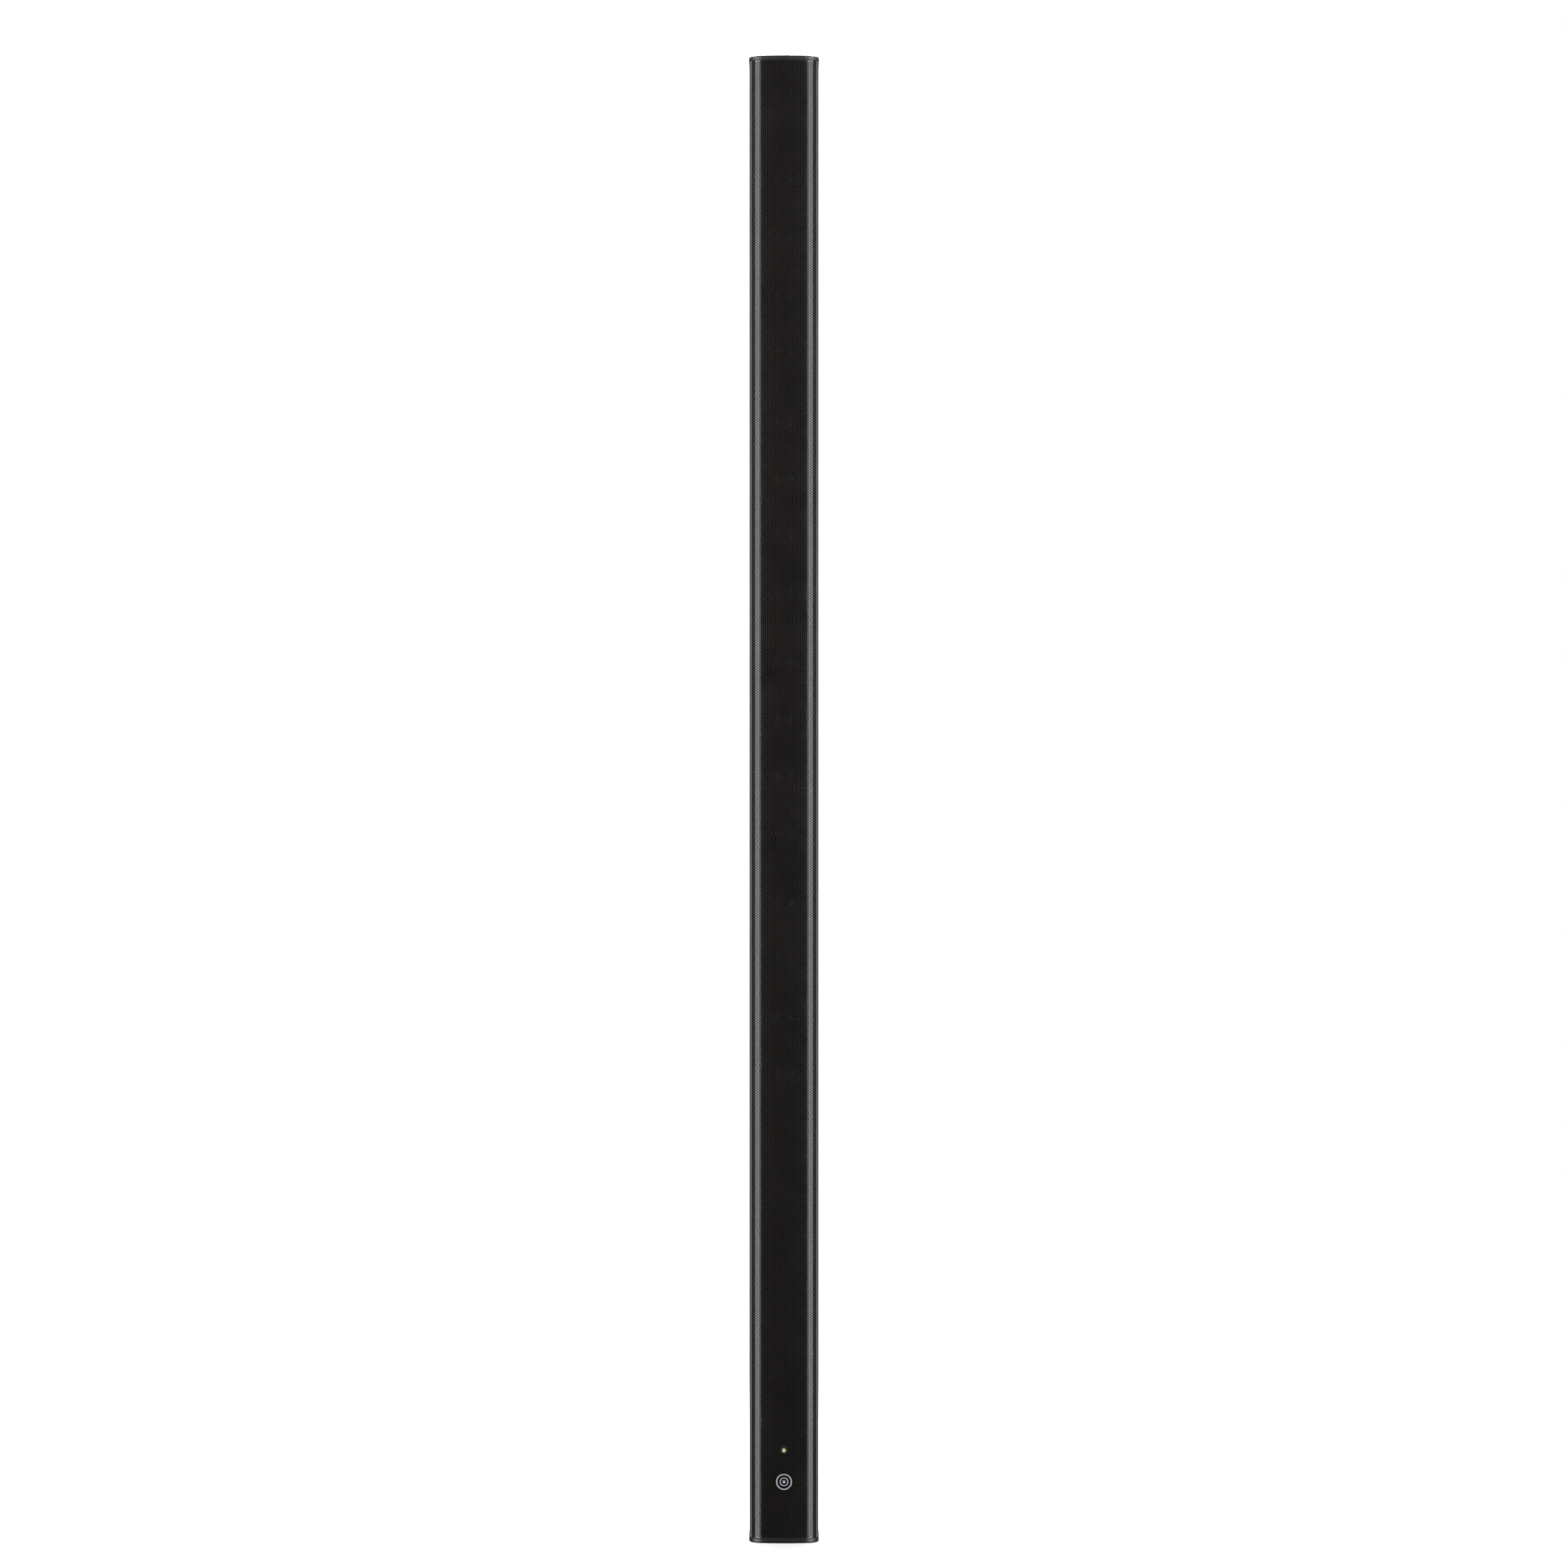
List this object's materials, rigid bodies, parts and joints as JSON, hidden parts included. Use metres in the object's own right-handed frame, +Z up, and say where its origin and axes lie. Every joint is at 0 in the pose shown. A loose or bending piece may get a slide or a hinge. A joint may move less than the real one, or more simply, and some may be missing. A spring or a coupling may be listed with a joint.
{
  "type": "column loudspeaker",
  "caption": "Slim black column loudspeaker with a curved perforated grille, extruded housing, rear mounting slot and connector recess",
  "frame": {"origin": "middle of the underside of the bottom end cap, at the centre of the object's box", "axes": "+Z up along the column, -Y out of the grille, +Y out of the back, +X to the right seen from the front"},
  "size_m": [0.054, 0.103, 1.149],
  "materials": {
    "housing": "satin",
    "grille": "satin",
    "seal": "matte",
    "end_cap": "satin",
    "black_screw": "satin",
    "badge_field": "gloss",
    "badge_metal": "polished",
    "circuit_board": "satin",
    "light": "gloss",
    "light_pipe": "gloss",
    "baffle": "matte",
    "driver_frame": "satin",
    "motor": "satin",
    "surround": "satin",
    "spider": "matte",
    "damping": "matte",
    "wire": "satin",
    "pan": "satin",
    "socket": "satin",
    "switch_block": "satin",
    "chassis": "satin",
    "component": "satin",
    "cone": "satin",
    "switch_nub": "satin",
    "nut": "satin"
  },
  "bodies": {
    "enclosure": {"housing_extrusion": "housing", "front_grille": "grille", "grille_seal_strips": "seal", "top_end_cap": "end_cap", "bottom_end_cap": "end_cap", "top_cap_gasket": "seal", "bottom_cap_gasket": "seal", "top_cap_screws": "black_screw", "bottom_cap_screws": "black_screw", "badge_disc": "badge_field", "badge_ring": "badge_metal", "status_led_board": "circuit_board", "status_led": "light", "status_light_pipe": "light_pipe", "driver_baffle_1": "baffle", "driver_baffle_2": "baffle", "driver_baffle_3": "baffle", "driver_baffle_4": "baffle", "driver_frames": "driver_frame", "driver_magnets": "motor", "driver_surrounds": "surround", "driver_spiders": "spider", "driver_screws": "black_screw", "upper_front_plate": "baffle", "lower_front_plate": "baffle", "chamber_bulkhead": "baffle", "damping_foam": "damping", "speaker_harness": "wire", "connector_pan": "pan", "connector_pan_screws": "black_screw", "network_socket": "socket", "dip_switch_block": "switch_block", "reset_switch": "switch_block", "electronics_chassis": "chassis", "network_board": "circuit_board", "amplifier_board": "circuit_board", "board_components": "component"},
    "cone_01": {"driver_cone_01": "cone"},
    "cone_02": {"driver_cone_02": "cone"},
    "cone_03": {"driver_cone_03": "cone"},
    "cone_04": {"driver_cone_04": "cone"},
    "cone_05": {"driver_cone_05": "cone"},
    "cone_06": {"driver_cone_06": "cone"},
    "cone_07": {"driver_cone_07": "cone"},
    "cone_08": {"driver_cone_08": "cone"},
    "cone_09": {"driver_cone_09": "cone"},
    "cone_10": {"driver_cone_10": "cone"},
    "cone_11": {"driver_cone_11": "cone"},
    "cone_12": {"driver_cone_12": "cone"},
    "cone_13": {"driver_cone_13": "cone"},
    "cone_14": {"driver_cone_14": "cone"},
    "cone_15": {"driver_cone_15": "cone"},
    "cone_16": {"driver_cone_16": "cone"},
    "dip_1": {"dip_slider_1": "switch_nub"},
    "dip_2": {"dip_slider_2": "switch_nub"},
    "dip_3": {"dip_slider_3": "switch_nub"},
    "dip_4": {"dip_slider_4": "switch_nub"},
    "reset": {"reset_button": "switch_nub"},
    "nut_lower": {"bracket_nut_lower": "nut"},
    "nut_upper": {"bracket_nut_upper": "nut"}
  },
  "joints": [
    {"name": "cone_01_stroke", "type": "slide", "parent": "enclosure", "child": "cone_01", "axis": [0, -1, 0], "range_m": [-0.0015, 0.0015], "stiffness_N_per_m": 900, "deforming": ["driver_surrounds", "driver_spiders"]},
    {"name": "cone_02_stroke", "type": "slide", "parent": "enclosure", "child": "cone_02", "axis": [0, -1, 0], "range_m": [-0.0015, 0.0015], "stiffness_N_per_m": 900},
    {"name": "cone_03_stroke", "type": "slide", "parent": "enclosure", "child": "cone_03", "axis": [0, -1, 0], "range_m": [-0.0015, 0.0015], "stiffness_N_per_m": 900},
    {"name": "cone_04_stroke", "type": "slide", "parent": "enclosure", "child": "cone_04", "axis": [0, -1, 0], "range_m": [-0.0015, 0.0015], "stiffness_N_per_m": 900},
    {"name": "cone_05_stroke", "type": "slide", "parent": "enclosure", "child": "cone_05", "axis": [0, -1, 0], "range_m": [-0.0015, 0.0015], "stiffness_N_per_m": 900},
    {"name": "cone_06_stroke", "type": "slide", "parent": "enclosure", "child": "cone_06", "axis": [0, -1, 0], "range_m": [-0.0015, 0.0015], "stiffness_N_per_m": 900},
    {"name": "cone_07_stroke", "type": "slide", "parent": "enclosure", "child": "cone_07", "axis": [0, -1, 0], "range_m": [-0.0015, 0.0015], "stiffness_N_per_m": 900},
    {"name": "cone_08_stroke", "type": "slide", "parent": "enclosure", "child": "cone_08", "axis": [0, -1, 0], "range_m": [-0.0015, 0.0015], "stiffness_N_per_m": 900},
    {"name": "cone_09_stroke", "type": "slide", "parent": "enclosure", "child": "cone_09", "axis": [0, -1, 0], "range_m": [-0.0015, 0.0015], "stiffness_N_per_m": 900},
    {"name": "cone_10_stroke", "type": "slide", "parent": "enclosure", "child": "cone_10", "axis": [0, -1, 0], "range_m": [-0.0015, 0.0015], "stiffness_N_per_m": 900},
    {"name": "cone_11_stroke", "type": "slide", "parent": "enclosure", "child": "cone_11", "axis": [0, -1, 0], "range_m": [-0.0015, 0.0015], "stiffness_N_per_m": 900},
    {"name": "cone_12_stroke", "type": "slide", "parent": "enclosure", "child": "cone_12", "axis": [0, -1, 0], "range_m": [-0.0015, 0.0015], "stiffness_N_per_m": 900},
    {"name": "cone_13_stroke", "type": "slide", "parent": "enclosure", "child": "cone_13", "axis": [0, -1, 0], "range_m": [-0.0015, 0.0015], "stiffness_N_per_m": 900},
    {"name": "cone_14_stroke", "type": "slide", "parent": "enclosure", "child": "cone_14", "axis": [0, -1, 0], "range_m": [-0.0015, 0.0015], "stiffness_N_per_m": 900},
    {"name": "cone_15_stroke", "type": "slide", "parent": "enclosure", "child": "cone_15", "axis": [0, -1, 0], "range_m": [-0.0015, 0.0015], "stiffness_N_per_m": 900},
    {"name": "cone_16_stroke", "type": "slide", "parent": "enclosure", "child": "cone_16", "axis": [0, -1, 0], "range_m": [-0.0015, 0.0015], "stiffness_N_per_m": 900},
    {"name": "dip_1_slide", "type": "slide", "parent": "enclosure", "child": "dip_1", "axis": [0, 0, 1], "range_m": [0, 0.002]},
    {"name": "dip_2_slide", "type": "slide", "parent": "enclosure", "child": "dip_2", "axis": [0, 0, 1], "range_m": [0, 0.002]},
    {"name": "dip_3_slide", "type": "slide", "parent": "enclosure", "child": "dip_3", "axis": [0, 0, 1], "range_m": [0, 0.002]},
    {"name": "dip_4_slide", "type": "slide", "parent": "enclosure", "child": "dip_4", "axis": [0, 0, 1], "range_m": [0, 0.002]},
    {"name": "reset_press", "type": "slide", "parent": "enclosure", "child": "reset", "axis": [0, -1, 0], "range_m": [0, 0.0005], "stiffness_N_per_m": 1200},
    {"name": "nut_lower_slide", "type": "slide", "parent": "enclosure", "child": "nut_lower", "axis": [0, 0, 1], "range_m": [-0.15, 0.2]},
    {"name": "nut_upper_slide", "type": "slide", "parent": "enclosure", "child": "nut_upper", "axis": [0, 0, 1], "range_m": [-0.2, 0.2]}
  ],
  "couplings": [
    {"joint": "cone_02_stroke", "follows": "cone_01_stroke", "ratio": 1},
    {"joint": "cone_03_stroke", "follows": "cone_01_stroke", "ratio": 1},
    {"joint": "cone_04_stroke", "follows": "cone_01_stroke", "ratio": 1},
    {"joint": "cone_05_stroke", "follows": "cone_01_stroke", "ratio": 1},
    {"joint": "cone_06_stroke", "follows": "cone_01_stroke", "ratio": 1},
    {"joint": "cone_07_stroke", "follows": "cone_01_stroke", "ratio": 1},
    {"joint": "cone_08_stroke", "follows": "cone_01_stroke", "ratio": 1},
    {"joint": "cone_09_stroke", "follows": "cone_01_stroke", "ratio": 1},
    {"joint": "cone_10_stroke", "follows": "cone_01_stroke", "ratio": 1},
    {"joint": "cone_11_stroke", "follows": "cone_01_stroke", "ratio": 1},
    {"joint": "cone_12_stroke", "follows": "cone_01_stroke", "ratio": 1},
    {"joint": "cone_13_stroke", "follows": "cone_01_stroke", "ratio": 1},
    {"joint": "cone_14_stroke", "follows": "cone_01_stroke", "ratio": 1},
    {"joint": "cone_15_stroke", "follows": "cone_01_stroke", "ratio": 1},
    {"joint": "cone_16_stroke", "follows": "cone_01_stroke", "ratio": 1}
  ]
}
